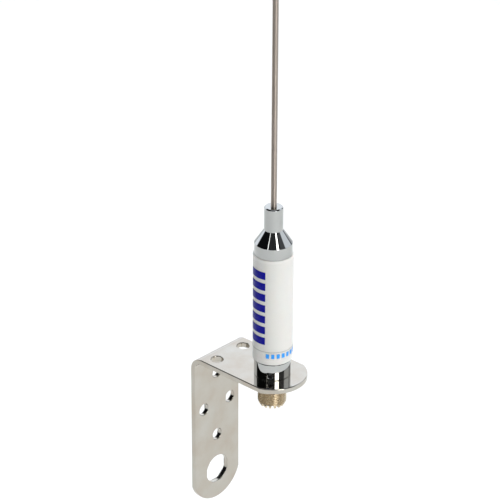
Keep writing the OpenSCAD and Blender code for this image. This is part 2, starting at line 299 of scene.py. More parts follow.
def around(points, normals, angles):
    """Turns a section round the axis: (r, z) at angle a goes to (r cos a, r sin a, z)."""
    c, s = np.cos(angles)[:, None], np.sin(angles)[:, None]
    shape = (len(angles), len(points))
    return tuple(np.stack([plane[:, 0] * c, plane[:, 0] * s,
                           np.broadcast_to(plane[:, 1], shape)], axis=-1)
                 for plane in (points, normals))


def turned(corners, closed=False, columns=160):
    """A skin turned from a section, as a lathe would turn it."""
    angles = np.arange(columns) * 2 * np.pi / columns
    return grid_skin(*around(*section(corners, closed), angles), wrap_u=True, wrap_v=closed)


def pocket(wall_r, z, start, half_columns, rows, columns, floor_r, hole_r, edge=0.3):
    """A round pocket sunk square into a turned wall, and the patch of wall round it.

    The patch fills a window of the wall that spans half_columns to each side of the pocket
    and has the wall's points at the heights in rows. Its rings go from the window's rim, a
    rectangle in (across, up), to the circle of the pocket, by a straight blend; a point
    (a, b) of a ring lies on the wall at x = sqrt(wall_r^2 - a^2). The circle then rolls over
    the edge and runs straight in along x to a flat floor.
    """
    step = 2 * np.pi / columns
    across = wall_r * np.sin(np.arange(-half_columns, half_columns + 1) * step)
    rim = np.concatenate([
        np.stack([across[:-1], np.full(len(across) - 1, rows[0])], axis=1),
        np.stack([np.full(len(rows) - 1, across[-1]), rows[:-1]], axis=1),
        np.stack([across[:0:-1], np.full(len(across) - 1, rows[-1])], axis=1),
        np.stack([np.full(len(rows) - 1, across[0]), rows[:0:-1]], axis=1)])
    rim[:, 1] -= z
    out = rim / np.linalg.norm(rim, axis=1, keepdims=True)
    points, normals = [], []

    def add_ring(plane, depth, lean):
        """Adds the wall's points over a ring, sunk by depth, and normals that lean inwards."""
        x = np.sqrt(wall_r ** 2 - np.minimum(plane[:, 0] ** 2, wall_r ** 2))
        wall = np.stack([x, plane[:, 0], np.zeros(len(plane))], axis=1) / wall_r
        inward = np.stack([np.zeros(len(plane)), -out[:, 0], -out[:, 1]], axis=1)
        points.append(np.stack([x - depth, plane[:, 0], plane[:, 1] + z], axis=1))
        normals.append(np.cos(lean) * wall + np.sin(lean) * inward)

    for share in np.linspace(0, 1, 5):
        add_ring(rim + share * (out * (hole_r + edge) - rim), 0, 0)
    for lean in np.radians([30, 60, 90]):
        add_ring(out * (hole_r + edge * (1 - np.sin(lean))), edge * (1 - np.cos(lean)), lean)
    # The floor starts a hair inside the wall, so that the two keep their own normals
    floor = [np.stack([np.full(len(out), floor_r), out[:, 0] * r, out[:, 1] * r + z], axis=1)
             for r in (hole_r, hole_r - 0.02, 0)]
    points += floor
    normals += [normals[-1]] + [np.tile([1.0, 0, 0], (len(out), 1))] * 2
    return spun(grid_skin(np.array(points), np.array(normals), wrap_v=True), start)


def turned_with_pockets(corners, wall_r, pockets, half_columns, half_height, floor_r,
                        closed, columns=192):
    """A turned skin whose wall has windows, with a pocket set in each."""
    start = pockets[0][1]
    points, normals = section(corners, closed)
    angles = np.radians(start) + np.arange(columns) * 2 * np.pi / columns
    grid = around(points, normals, angles)
    column = np.arange(columns)
    beside = (column < half_columns) | (column >= columns - half_columns)
    keep = np.ones((columns, len(points) - (not closed)), bool)
    skins = []
    for z, _ in pockets:
        rows = np.flatnonzero((abs(points[:, 0] - wall_r) < 1e-6)
                              & (abs(points[:, 1] - z) < half_height + 1e-6))
        keep[np.ix_(beside, rows[:-1])] = False
        skins.append(pocket(wall_r, z, start, half_columns, points[rows, 1], columns,
                            floor_r, GRUB_R))
    return join(grid_skin(*grid, wrap_u=True, wrap_v=closed, keep=keep), *skins)


def wall_rows(wall_r, pockets, half_height, count=5):
    """Extra points of a section's wall, where the windows for the pockets begin and end."""
    heights = sorted(z + h for z, _ in pockets
                     for h in np.linspace(-half_height, half_height, count))
    return [(wall_r, h, 0) for h in heights]


def spun(skin, degrees):
    """A skin turned anticlockwise round the axis."""
    c, s = np.cos(np.radians(degrees)), np.sin(np.radians(degrees))
    spin = np.array([[c, s, 0], [-s, c, 0], [0, 0, 1]])
    return skin[0] @ spin, skin[1] @ spin, skin[2]


def smoothstep(low, high, x):
    """0 below low, 1 above high, and 3t^2 - 2t^3 between them."""
    t = np.clip((x - low) / (high - low), 0, 1)
    return t * t * (3 - 2 * t)


def notched(heights, angles, top, tip, count, width, depth, radius, first=0):
    """Heights of a tube's end after it is notched: a notch squeezes what lies between tip
    and top towards top, by the share of that length that its depth takes away."""
    turn_share = (angles - np.radians(first)) * count / (2 * np.pi)
    off_centre = abs((turn_share + 0.5) % 1 - 0.5) * 2 * np.pi * radius / count
    in_notch = 1 - smoothstep(width / 2 - NOTCH_EDGE, width / 2 + NOTCH_EDGE, off_centre)
    squeeze = 1 - in_notch[:, None] * depth / (top - tip)
    return np.where(heights < top, top - (top - heights) * squeeze, heights)


def swept(path, radius, sides=12):
    """A tube along a path: each ring is the path's point plus radius times
    (cos k away from the axis + sin k square to that and to the path)."""
    along = np.gradient(path, axis=0)
    # Both ends point straight up
    along[0] = along[-1] = (0, 0, 1)
    along /= np.linalg.norm(along, axis=1, keepdims=True)
    out = path * (1, 1, 0)
    side = np.cross(along, out)
    side /= np.linalg.norm(side, axis=1, keepdims=True)
    out = np.cross(side, along)
    k = np.arange(sides)[None, :, None] * 2 * np.pi / sides
    normals = np.cos(k) * out[:, None] + np.sin(k) * side[:, None]
    points = path[:, None] + radius * normals
    ends = []
    for end, way in ((0, -1.0), (-1, 1.0)):
        disc = np.stack([points[end], np.repeat(path[end][None], sides, axis=0)])
        ends.append(grid_skin(disc, np.full(disc.shape, (0, 0, way)), wrap_v=True))
    return join(grid_skin(points, normals, wrap_v=True), *ends)


# ---- the bracket ----

BEND_START = FLANGE_TOP - BEND_R
BEND_L = (BEND_R - SHEET_T / 2) * np.pi / 2


def bent(along, across, depth, lean_along, lean_across, lean_out):
    """Bends a flat pattern into the L.

    along runs up the leg, round the bend and out along the flange, and depth goes in from
    the leg's back and the flange's top. In the bend, the angle is along over the length of
    the bend's middle line, and the point lies that angle round the bend's centre.
    """
    angle = np.clip((along - BEND_START) / BEND_L, 0, 1) * np.pi / 2
    c, s = np.cos(angle), np.sin(angle)
    out = np.stack([-c, 0 * c, s], axis=-1)
    up = np.stack([s, 0 * c, c], axis=-1)
    centre = np.array([BEND_R, 0, BEND_START])
    straight = along - np.clip(along, BEND_START, BEND_START + BEND_L)
    points = centre + out * (BEND_R - depth)[:, None] + up * straight[:, None]
    points[:, 1] = across
    normals = out * lean_out[:, None] + up * lean_along[:, None]
    normals[:, 1] = lean_across
    return points, normals


def round_end(centre, radius, facing, count=72):
    """Half an outline: a large arc that meets both sides of the strip with small ones."""
    angle = np.linspace(-90, 90, count)
    corner_y = HALF_WIDTH - BRACKET_CORNER
    corner_x = np.sqrt((radius - BRACKET_CORNER) ** 2 - corner_y ** 2)
    limit = np.degrees(np.arctan2(corner_y, corner_x))
    unit = turn(np.tile([1.0, 0], (count, 1)), angle)
    corner = np.stack([np.full(count, corner_x), np.sign(angle) * corner_y], axis=1)
    points = np.where(abs(angle)[:, None] <= limit, radius * unit,
                      corner + BRACKET_CORNER * unit)
    return points * facing + (centre, 0), unit * facing


def circle(centre, radius, count=72):
    """A hole's rim, with normals that point into the hole."""
    angle = np.arange(count) * 2 * np.pi / count
    unit = np.stack([np.cos(angle), np.sin(angle)], axis=1)
    return np.array(centre) + radius * unit, -unit


def bracket_pattern():
    """The outline and the holes of the flat strip, as (along, across) points and normals."""
    flange = BEND_START + BEND_L - BEND_R
    rungs = np.linspace(BEND_START, BEND_START + BEND_L, 25)
    end, end_out = round_end(flange + AXIS[0], FLANGE_END_R, 1)
    foot, foot_out = round_end(LEG_END_Z, LEG_END_R, -1)
    edge = np.stack([rungs, np.full(len(rungs), HALF_WIDTH)], axis=1)
    edge_out = np.tile([0.0, 1.0], (len(rungs), 1))
    outline = np.concatenate([end, edge[::-1], foot, edge * (1, -1)])
    outline_out = np.concatenate([end_out, edge_out, foot_out, -edge_out])
    loops = [(outline, outline_out)]
    for side in (-1, 1):
        loops.append(circle((0, side * HOLE_HALF_PITCH), FIXING_R))
        loops.append(circle((side * LEG_HOLE_HALF_PITCH_Z, 0), FIXING_R))
        loops.append(circle((flange + FLANGE_HOLE_X, side * HOLE_HALF_PITCH), FIXING_R))
    loops.append(circle((LEG_END_Z, 0), CABLE_HOLE_R))
    loops.append(circle((flange + AXIS[0], 0), PILOT_HOLE_R))
    first = len(end)
    last = first + len(edge) + len(foot)
    rungs = [(first + len(edge) - 1 - k, last + k) for k in range(len(edge))]
    return loops, rungs


def bracket_skin():
    """The bent strip: two faces, filled by constrained Delaunay triangles between the
    outline and the rims, and round every loop a rim that rolls over a small edge, runs
    straight through the sheet and rolls over the other edge."""
    loops, rungs = bracket_pattern()
    inset = [p - n * BRACKET_EDGE for p, n in loops]
    flat = np.concatenate(inset)
    starts = np.cumsum([0] + [len(p) for p in inset])
    edges = list(rungs)
    for start, end in zip(starts[:-1], starts[1:]):
        ring = np.arange(start, end)
        edges += list(zip(ring.tolist(), np.roll(ring, -1).tolist()))
    made = delaunay_2d_cdt([Vector(p) for p in flat], edges, [], 1, 1e-6)
    plane = np.array([tuple(p) for p in made[0]])
    faces = np.array([f for f in made[2] if len(f) == 3])
    middle = plane[faces].mean(axis=1)
    solid = np.ones(len(faces), bool)
    for points, normals in loops[1:]:
        centre = points.mean(axis=0)
        solid &= np.linalg.norm(middle - centre, axis=1) > np.linalg.norm(points[0] - centre)
    faces = np.concatenate([faces[solid], faces[solid][:, 2:]], axis=1)
    zeros, ones = np.zeros(len(plane)), np.ones(len(plane))
    skins = []
    for depth, out in ((0, 1), (SHEET_T, -1)):
        placed = bent(plane[:, 0], plane[:, 1], depth * ones, zeros, zeros, out * ones)
        skins.append((*placed, faces))
    leans = np.radians([0, 30, 60, 90])
    for points, normals in loops:
        rings, ring_normals = [], []
        for top in (True, False):
            for lean in leans if top else leans[::-1]:
                plane = points - normals * BRACKET_EDGE * (1 - np.sin(lean))
                roll = BRACKET_EDGE * (1 - np.cos(lean))
                depth = np.full(len(plane), roll if top else SHEET_T - roll)
                out = np.full(len(plane), np.cos(lean) * (1 if top else -1))
                side = normals * np.sin(lean)
                p, n = bent(plane[:, 0], plane[:, 1], depth, side[:, 0], side[:, 1], out)
                rings.append(p)
                ring_normals.append(n)
        skins.append(grid_skin(np.array(rings), np.array(ring_normals), wrap_v=True))
    return join(*skins)


# ---- what is turned ----

def o_ring_groove(middle):
    """Corners of a sealing ring's groove in a spigot, from its lower lip to its upper one."""
    low, high = middle - O_RING_T / 2, middle + O_RING_T / 2
    return [(SPIGOT_R, low, TURNED_EDGE), (O_RING_GROOVE_R, low, TURNED_EDGE),
            (O_RING_GROOVE_R, high, TURNED_EDGE), (SPIGOT_R, high, TURNED_EDGE)]


def base_skin():
    """The chromed base: a collar with a grub screw's pocket and a relief groove, a spigot
    with a sealing ring's groove, and three bores."""
    e = TURNED_EDGE
    shoulder = BASE_H + LAP
    top = shoulder + SPIGOT_L
    seat = FORMER_FOOT - FIT
    relief_r = BODY_R - RELIEF_DEPTH
    relief_low = BASE_H - RELIEF_W
    # The groove runs up a little way inside the sleeve
    relief_high = BASE_H + 0.2
    relief = [(BODY_R, relief_low), (relief_r, relief_low), (relief_r, relief_high),
              (BODY_R, relief_high)]
    window = 2.0
    corners = [(SHANK_BORE_R, 0, e), (BODY_R, 0, BASE_FOOT_EDGE)]
    corners += wall_rows(BODY_R, [BASE_GRUB], window)
    for radius, height in relief:
        corners.append((radius, height, CRISP_EDGE if radius == BODY_R else SMALL_EDGE))
    corners += [(BODY_R, shoulder, e), (SPIGOT_R, shoulder, e)]
    corners += o_ring_groove(shoulder + SPIGOT_L / 2)
    corners += [(SPIGOT_R, top, SPIGOT_EDGE), (FORMER_BORE_R, top, e),
                (FORMER_BORE_R, seat, e), (LEAD_WAY_R, seat, e),
                (LEAD_WAY_R, SHANK_BORE_TOP, e), (SHANK_BORE_R, SHANK_BORE_TOP, e)]
    return turned_with_pockets(corners, BODY_R, [BASE_GRUB], half_columns=7,
                               half_height=window, floor_r=BASE_POCKET_FLOOR, closed=True)


def ferrule_skin():
    """Spigot, collar, cone and neck in one, with the former's bore below, the whip's bore
    above and two grub screws' pockets in the neck's far side."""
    e = TURNED_EDGE
    window = 1.9
    bore_top = FORMER_TOP + FIT
    corners = [(0, bore_top, 0), (FORMER_BORE_R, bore_top, e), (FORMER_BORE_R, FERRULE_FOOT, e),
               (SPIGOT_R, FERRULE_FOOT, SPIGOT_EDGE)]
    corners += o_ring_groove((FERRULE_FOOT + FERRULE_SHOULDER) / 2)
    corners += [(SPIGOT_R, FERRULE_SHOULDER, e), (BODY_R, FERRULE_SHOULDER, e),
                (BODY_R, SLEEVE_TOP, CRISP_EDGE), (COLLAR_R, SLEEVE_TOP, 0.06),
                (COLLAR_R, CONE_FOOT, 0.2), (NECK_R, NECK_FOOT, e)]
    corners += wall_rows(NECK_R, NECK_GRUBS, window)
    corners += [(NECK_R, NECK_TOP - NECK_CHAMFER, 0.2),
                (NECK_R - NECK_CHAMFER, NECK_TOP, 0.15),
                (WHIP_HOLE_R, NECK_TOP, 0.15), (WHIP_HOLE_R, WHIP_FOOT, SMALL_EDGE),
                (0, WHIP_FOOT, 0)]
    return turned_with_pockets(corners, NECK_R, NECK_GRUBS, half_columns=12,
                               half_height=window, floor_r=NECK_POCKET_FLOOR, closed=False)


def ring_skin(inner, outer, low, high, edge):
    """A plain tube with rounded lips."""
    return turned([(inner, low, edge), (outer, low, edge), (outer, high, edge),
                   (inner, high, edge)], closed=True)


def insulator_skin():
    """The front insulator: a nose that fills the lip, a body behind it and a bore."""
    low, high = INSULATOR_Z
    nose, body = LIP_R - FIT, SHELL_BORE_R - FIT
    bore = CONTACT_R + FIT
    step = LIP_TOP + FIT
    e = SMALL_EDGE
    return turned([(bore, low, e), (nose, low, 0.2), (nose, step, e), (body, step, e),
                   (body, high, e), (bore, high, e)], closed=True)


def whip_skin():
    """A long rod that ends in half a sphere."""
    top = WHIP_HIGH[2] - FLANGE_TOP
    # A shade under the rod's radius, so that the arc ends short of the axis
    tip_edge = WHIP_R * 0.999
    return turned([(0, WHIP_FOOT, 0), (WHIP_R, WHIP_FOOT, 0.2), (WHIP_R, top, tip_edge),
                   (0, top, 0)], columns=64)


def shell_skin(columns=384):
    """The threaded shell. Its wall is a section carried round the axis, changed in two ways.

    The thread takes off THREAD_DEPTH times a rounded wave of (z / pitch - turns), so the
    crests climb to the right. It fades out below the pilot, and runs a little way down the
    taper. The end is notched all round.
    """
    thread_top = PILOT_FOOT - 0.2
    thread_foot = THREAD_END - 1.6
    thread_z = np.arange(THREAD_END, thread_top, THREAD_PITCH / 10)
    corners = [(LIP_R, TOOTH_TIP, 0.2), (TOOTH_TIP_R, TOOTH_TIP, 0.25)]
    for share in np.linspace(0.25, 0.9, 5):
        corners.append((TOOTH_TIP_R + share * (THREAD_R - TOOTH_TIP_R),
                        TOOTH_TIP + share * (THREAD_END - TOOTH_TIP), 0))
    corners.append((THREAD_R, THREAD_END, CRISP_EDGE))
    corners += [(THREAD_R, z, 0) for z in thread_z[1:]]
    corners += [(THREAD_R, PILOT_FOOT, CRISP_EDGE), (PILOT_R, PILOT_FOOT, CRISP_EDGE)]
    corners += [(radius, height, SMALL_EDGE)
                for radius, height in ((PILOT_R, 0), (SHANK_R, 0), (SHANK_R, SHANK_TOP),
                                       (SHELL_BORE_R, SHANK_TOP), (SHELL_BORE_R, LIP_TOP),
                                       (LIP_R, LIP_TOP))]
    points, normals = section(corners, closed=True)
    angles = np.arange(columns) * 2 * np.pi / columns
    grid, normals = around(points, normals, angles)
    z = notched(grid[..., 2], angles, THREAD_END, TOOTH_TIP, TOOTH_COUNT, NOTCH_W, NOTCH_DEPTH,
                TOOTH_TIP_R)
    radius = np.broadcast_to(points[:, 0], z.shape)
    outside = radius > LIP_R + 0.5
    taper_r = np.interp(z, [TOOTH_TIP, THREAD_END], [TOOTH_TIP_R, THREAD_R])
    tapered = outside & (z < THREAD_END - 1e-6)
    radius = np.where(tapered, np.minimum(radius, taper_r), radius)
    wave = abs(2 * ((z / THREAD_PITCH - angles[:, None] / (2 * np.pi)) % 1) - 1)
    wave = smoothstep(0.05, 0.95, wave)
    fade = 1 - smoothstep(thread_top - 0.7, thread_top, z)
    on_thread = outside & (z >= thread_foot) & (z < (thread_top + PILOT_FOOT) / 2)
    groove = THREAD_R - THREAD_DEPTH * wave * fade
    radius = np.where(on_thread, np.minimum(radius, groove), radius)
    c, s = np.cos(angles)[:, None], np.sin(angles)[:, None]
    grid = np.stack([radius * c, radius * s, z], axis=-1)
    return grid_skin(grid, normals, wrap_u=True, wrap_v=True)


def contact_skin(columns=240):
    """The centre contact: a tube with four slots in its mouth, a collar and a tail."""
    low = INSULATOR_Z[0]
    collar_low, collar_high, collar_r = CONTACT_COLLAR
    tail_r, tail_top = CONTACT_TAIL
    slot_top = low + SLOT_L
    slot_edge = slot_top + 0.4
    e = SMALL_EDGE
    corners = [(0, CONTACT_BORE_TOP, 0), (CONTACT_BORE_R, CONTACT_BORE_TOP, e),
               (CONTACT_BORE_R, slot_edge, 0), (CONTACT_BORE_R, slot_top, 0),
               (CONTACT_BORE_R, low, 0.15), (CONTACT_R, low, 0.15), (CONTACT_R, slot_top, 0),
               (CONTACT_R, slot_edge, 0), (CONTACT_R, collar_low, CRISP_EDGE),
               (collar_r, collar_low, e), (collar_r, collar_high, e),
               (tail_r, collar_high, e), (tail_r, tail_top, 0.2), (0, tail_top, 0)]
    points, normals = section(corners)
    angles = np.arange(columns) * 2 * np.pi / columns
    grid, normals = around(points, normals, angles)
    grid[..., 2] = notched(grid[..., 2], angles, slot_edge, low, 4, SLOT_W, SLOT_L - 0.1,
                           (CONTACT_R + CONTACT_BORE_R) / 2, first=45)
    return grid_skin(grid, normals, wrap_u=True)


def grub_skin(z, angle, foot_r, head_r, columns=48):
    """A grub screw that points out of a wall, with a hexagonal socket in its head.

    A ring is round, or in the socket it is the hexagon times the ring's size: at angle a
    the hexagon's radius is (flats / 2) / cos(a to the nearest flat's middle).
    """
    length = head_r - foot_r
    rim = GRUB_SCREW_R - GRUB_CHAMFER
    socket_foot = 0.4 * length
    a = np.arange(columns) * 2 * np.pi / columns
    to_flat = (a + np.pi / 6) % (np.pi / 3) - np.pi / 6
    hexagon = GRUB_HEX / 2 / np.cos(to_flat)
    rings = [(0, 0, False), (rim, 0, False), (GRUB_SCREW_R, GRUB_CHAMFER, False),
             (GRUB_SCREW_R, length - GRUB_CHAMFER, False), (rim, length, False),
             (1, length, True), (1, socket_foot, True), (0, socket_foot, True)]
    points = []
    for size, height, in_socket in rings:
        r = size * hexagon if in_socket else np.full(columns, float(size))
        points.append(np.stack([np.full(columns, foot_r + height), r * np.cos(a),
                                r * np.sin(a) + z], axis=1))
    points = np.array(points)
    facing = np.cross(np.roll(points, -1, axis=1) - points,
                      np.roll(points, -1, axis=0) - points)
    # The socket's floor faces out of the wall, and the screw's foot into it
    facing[-1] = (1, 0, 0)
    facing[0] = (-1, 0, 0)
    return spun(grid_skin(points, facing, wrap_v=True), angle)


def coil_skin(steps=48):
    """The loading coil: straight up, COIL_TURNS turns of a helix, and straight up again."""
    a = np.arange(COIL_TURNS * steps + 1) * 2 * np.pi / steps
    helix = np.stack([COIL_R * np.cos(a), COIL_R * np.sin(a),
                      np.linspace(*COIL_Z, len(a))], axis=1)
    ends = np.array([[COIL_R, 0, z] for z in COIL_LEAD_Z])
    return swept(np.concatenate([ends[:1], helix, ends[1:]]), COIL_WIRE_R)


# ---- materials ----

# Noise seldom leaves this part of its range, so patterns are spread over it
NOISE_LOW = 0.3
NOISE_HIGH = 0.7


def linear(code):
    """An sRGB hex colour as linear red, green, blue and an alpha of 1."""
    srgb = np.array([int(code[k:k + 2], 16) for k in (1, 3, 5)]) / 255
    rgb = np.where(srgb <= 0.04045, srgb / 12.92, ((srgb + 0.055) / 1.055) ** 2.4)
    return (*rgb.tolist(), 1.0)


def add(tree, kind, inputs=None, **settings):
    """Adds a node with its settings. An input is given a value, or a socket or the first
    socket of a node to link."""
    made = tree.nodes.new(kind)
    for name, value in settings.items():
        setattr(made, name, value)
    for name, value in (inputs or {}).items():
        if isinstance(value, bpy.types.Node):
            value = value.outputs[0]
        if isinstance(value, bpy.types.NodeSocket):
            tree.links.new(value, made.inputs[name])
        else:
            made.inputs[name].default_value = value
    return made


def new_material(name, **constants):
    """An empty material: its tree, its Principled shader with what is constant set on it,
    and Object coordinates moved to the middle of the flange's hole."""
    material = bpy.data.materials.new(name)
    material.use_nodes = True
    tree = material.node_tree
    shader = tree.nodes["Principled BSDF"]
    for socket, value in constants.items():
        shader.inputs[socket.replace("_", " ")].default_value = value
    coords = add(tree, "ShaderNodeTexCoord")
    centred = add(tree, "ShaderNodeMapping",
                  {"Vector": coords.outputs["Object"],
                   "Location": (-AXIS[0] * MM, -AXIS[1] * MM, -FLANGE_TOP * MM)})
    return material, tree, shader, centred


def pattern(tree, shader, at, size, colours=None, roughness=None, depth=0,
            stretch=(1, 1, 1), detail=2):
    """Noise with features about size millimetres across, which drives what it is asked to:
    the colour, between two; the roughness, between two; and a relief depth millimetres
    high, laid over the relief that is there already."""
    scaled = add(tree, "ShaderNodeMapping", {"Vector": at, "Scale": stretch})
    noise = add(tree, "ShaderNodeTexNoise",
                {"Vector": scaled, "Scale": 1 / (size * MM), "Detail": detail})
    if colours:
        share = add(tree, "ShaderNodeMapRange",
                    {"Value": noise, "From Min": NOISE_LOW, "From Max": NOISE_HIGH})
        colour = add(tree, "ShaderNodeMix",
                     {0: share, 6: linear(colours[0]), 7: linear(colours[1])}, data_type="RGBA")
        tree.links.new(colour.outputs[2], shader.inputs["Base Color"])
    if roughness:
        rough = add(tree, "ShaderNodeMapRange",
                    {"Value": noise, "From Min": NOISE_LOW, "From Max": NOISE_HIGH,
                     "To Min": roughness[0], "To Max": roughness[1]})
        tree.links.new(rough.outputs[0], shader.inputs["Roughness"])
    if depth:
        relief = add(tree, "ShaderNodeBump", {"Height": noise, "Distance": depth * MM})
        for laid in shader.inputs["Normal"].links:
            tree.links.new(laid.from_socket, relief.inputs["Normal"])
        tree.links.new(relief.outputs[0], shader.inputs["Normal"])


def polished_stainless():
    """Stainless sheet, 304, mechanically polished: bright and warm grey, with fine polishing
    lines along the strip and soft clouds where the mop pressed harder."""
    material, tree, shader, at = new_material("polished_stainless_sheet", Metallic=1)
    # Clouds about 14 mm across give the slow changes of tone in a hand-polished face
    pattern(tree, shader, at, 14, ("#afa79b", "#b7b4ac"), (0.05, 0.1), detail=3)
    # Polishing lines are drawn 0.4 mm apart, coarser than the real 0.05 mm, to be seen
    pattern(tree, shader, at, 0.4, depth=0.0012, stretch=(1, 1, 0.03))
    # Specks of 0.25 mm break the reflections a little
    pattern(tree, shader, at, 0.25, depth=0.0006)
    return material


def chrome():
    """Chromium plate over turned brass: nearly a mirror, with the faintest turning rings."""
    material, tree, shader, at = new_material("chromium_plated_brass", Metallic=1)
    # Clouds of 8 mm where the plate is a little duller
    pattern(tree, shader, at, 8, ("#aeb0ae", "#b4b5b3"), (0.02, 0.045))
    # Turning rings 0.3 mm apart
    pattern(tree, shader, at, 0.3, depth=0.0004, stretch=(0.02, 0.02, 1))
    return material


def whip_steel():
    """Stainless rod, 17-7 spring temper, centreless ground: brownish grey, with grinding
    lines round it that stretch each highlight along its length."""
    material, tree, shader, at = new_material("ground_spring_steel", Metallic=1, Anisotropic=1,
                                              Anisotropic_Rotation=0.25)
    tangent = add(tree, "ShaderNodeTangent", direction_type="RADIAL", axis="Z")
    tree.links.new(tangent.outputs[0], shader.inputs["Tangent"])
    # Faint bands of 30 mm from the draw bench
    pattern(tree, shader, at, 30, ("#bfb3a7", "#c8bcb1"))
    # Grinding lines drawn 0.12 mm apart
    pattern(tree, shader, at, 0.12, roughness=(0.46, 0.52), depth=0.06,
            stretch=(0.05, 0.05, 1))
    return material


def nickel_brass():
    """Brass turned and threaded, under a thin dull nickel plate: pale champagne, satin."""
    material, tree, shader, at = new_material("nickel_plated_brass", Metallic=1)
    # Stains about 3 mm across
    pattern(tree, shader, at, 3, ("#c4b498", "#c9baa0"), (0.24, 0.29), detail=4)
    # Tool marks drawn 0.2 mm apart
    pattern(tree, shader, at, 0.2, depth=0.002, stretch=(0.05, 0.05, 1))
    return material


def black_oxide():
    """Hardened steel screws, chemically blackened: near black, with an oily sheen."""
    material, tree, shader, at = new_material("blackened_steel", Metallic=1)
    # Grains of 0.2 mm in the oxide
    pattern(tree, shader, at, 0.2, ("#3a3a3c", "#6a6a6c"), (0.25, 0.4), 0.004)
    return material


def white_vinyl():
    """Extruded white vinyl tube: warm white, glossy, with the faint draw of the die."""
    material, tree, shader, at = new_material("extruded_white_vinyl", IOR=1.53,
                                              Subsurface_Weight=0.08,
                                              Subsurface_Scale=0.6 * MM)
    # Mottling 5 mm across, as the plastic cooled
    pattern(tree, shader, at, 5, ("#d3d2cd", "#d6d5d0"), (0.28, 0.36))
    # Die lines 0.8 mm apart run along the tube
    pattern(tree, shader, at, 0.8, depth=0.002, stretch=(1, 1, 0.02))
    return material


# Print on the film: a column of bars, and marks near the foot. Directions are degrees
# round the axis
BARS_MIDDLE = -98
BARS_WIDTH = 11
BARS_Z = (22.6, 68.6)
BARS_PITCH = 6.6
BAR_H = 4.4
MARKS_MIDDLE = 0
MARKS_WIDTH = 26
MARKS_Z = (14.4, 17.1)
MARK_PITCH = 3
MARK_W = 1.8
# A fine grey line round the film near its foot, laid at part cover
FINE_LINE_Z = 18.2
FINE_LINE_W = 0.24
FINE_LINE_COVER = 0.7
# How softly an ink's edge ends
INK_EDGE = 0.05
DARK_BLUE = "#03038a"
LIGHT_BLUE = "#3c9aec"
FINE_GREY = "#b4b4b0"
BARE_FILM = "#d5d4cf"
BARE_FILM_ALPHA = 0.02


def repeats(tree, value, pitch, width):
    """1 in strips of a width, repeated at a pitch to both sides of 0."""
    folded = add(tree, "ShaderNodeMath", {0: value, 1: pitch / 2}, operation="PINGPONG")
    return add(tree, "ShaderNodeMapRange",
               {"Value": folded, "From Min": width / 2 - INK_EDGE,
                "From Max": width / 2 + INK_EDGE, "To Min": 1, "To Max": 0})


def strip(tree, value, low, high):
    """1 where the value lies between low and high."""
    off = add(tree, "ShaderNodeMath", {0: value, 1: (low + high) / 2}, operation="SUBTRACT")
    away = add(tree, "ShaderNodeMath", {0: off}, operation="ABSOLUTE")
    half = (high - low) / 2
    return add(tree, "ShaderNodeMapRange",
               {"Value": away, "From Min": half - INK_EDGE, "From Max": half + INK_EDGE,
                "To Min": 1, "To Max": 0})


def printed_film():
    """Clear polyester film, screen printed on its back with dark blue bars down one side and a
    row of light blue marks. A fine grey line is laid round it near the foot, at part cover. It is
    clear elsewhere."""
    material, tree, shader, at = new_material("printed_clear_polyester", IOR=1.57,
                                              Specular_IOR_Level=0.08)
    parts = add(tree, "ShaderNodeSeparateXYZ", {"Vector": at}).outputs
    angle = add(tree, "ShaderNodeMath", {0: parts["Y"], 1: parts["X"]}, operation="ARCTAN2")
    across = add(tree, "ShaderNodeMath", {0: angle, 1: FILM_R}, operation="MULTIPLY")
    height = add(tree, "ShaderNodeMath", {0: parts["Z"], 1: MM}, operation="DIVIDE")
    from_bar = add(tree, "ShaderNodeMath", {0: height, 1: BARS_Z[0] + BAR_H / 2},
                   operation="SUBTRACT")
    shares = []
    for middle, width, heights, repeated in (
            (BARS_MIDDLE, BARS_WIDTH, BARS_Z, repeats(tree, from_bar, BARS_PITCH, BAR_H)),
            (MARKS_MIDDLE, MARKS_WIDTH, MARKS_Z, repeats(tree, across, MARK_PITCH, MARK_W))):
        centre = np.radians(middle) * FILM_R
        beside = strip(tree, across, centre - width / 2, centre + width / 2)
        block = add(tree, "ShaderNodeMath", {0: beside, 1: strip(tree, height, *heights)},
                    operation="MULTIPLY")
        shares.append(add(tree, "ShaderNodeMath", {0: block, 1: repeated}, operation="MULTIPLY"))
    bars, marks = shares
    fine = strip(tree, height, FINE_LINE_Z - FINE_LINE_W / 2, FINE_LINE_Z + FINE_LINE_W / 2)
    colour = linear(BARE_FILM)
    for share, ink in ((bars, DARK_BLUE), (marks, LIGHT_BLUE), (fine, FINE_GREY)):
        laid = add(tree, "ShaderNodeMix", {0: share, 6: colour, 7: linear(ink)},
                   data_type="RGBA")
        colour = laid.outputs[2]
    tree.links.new(colour, shader.inputs["Base Color"])
    # The fine line is laid at part cover, so that it hides only part of what is under it
    wash = add(tree, "ShaderNodeMath", {0: fine, 1: FINE_LINE_COVER}, operation="MULTIPLY")
    solid = add(tree, "ShaderNodeMath", {0: bars, 1: marks}, operation="MAXIMUM")
    printed = add(tree, "ShaderNodeMath", {0: solid, 1: wash}, operation="MAXIMUM")
    alpha = add(tree, "ShaderNodeMath", {0: printed, 1: BARE_FILM_ALPHA}, operation="MAXIMUM")
    tree.links.new(alpha.outputs[0], shader.inputs["Alpha"])
    # A slight orange peel 4 mm across
    pattern(tree, shader, at, 4, roughness=(0.24, 0.32), depth=0.01)
    return material


def ptfe():
    """Turned PTFE: waxy, bright white, with soft tool rings 0.35 mm apart."""
    material, tree, shader, at = new_material("turned_ptfe", IOR=1.38, Subsurface_Weight=0.2,
                                              Subsurface_Scale=1 * MM)
    pattern(tree, shader, at, 0.35, ("#e6e5df", "#f2f1ec"), (0.42, 0.55), 0.01,
            stretch=(0.1, 0.1, 1))
    return material


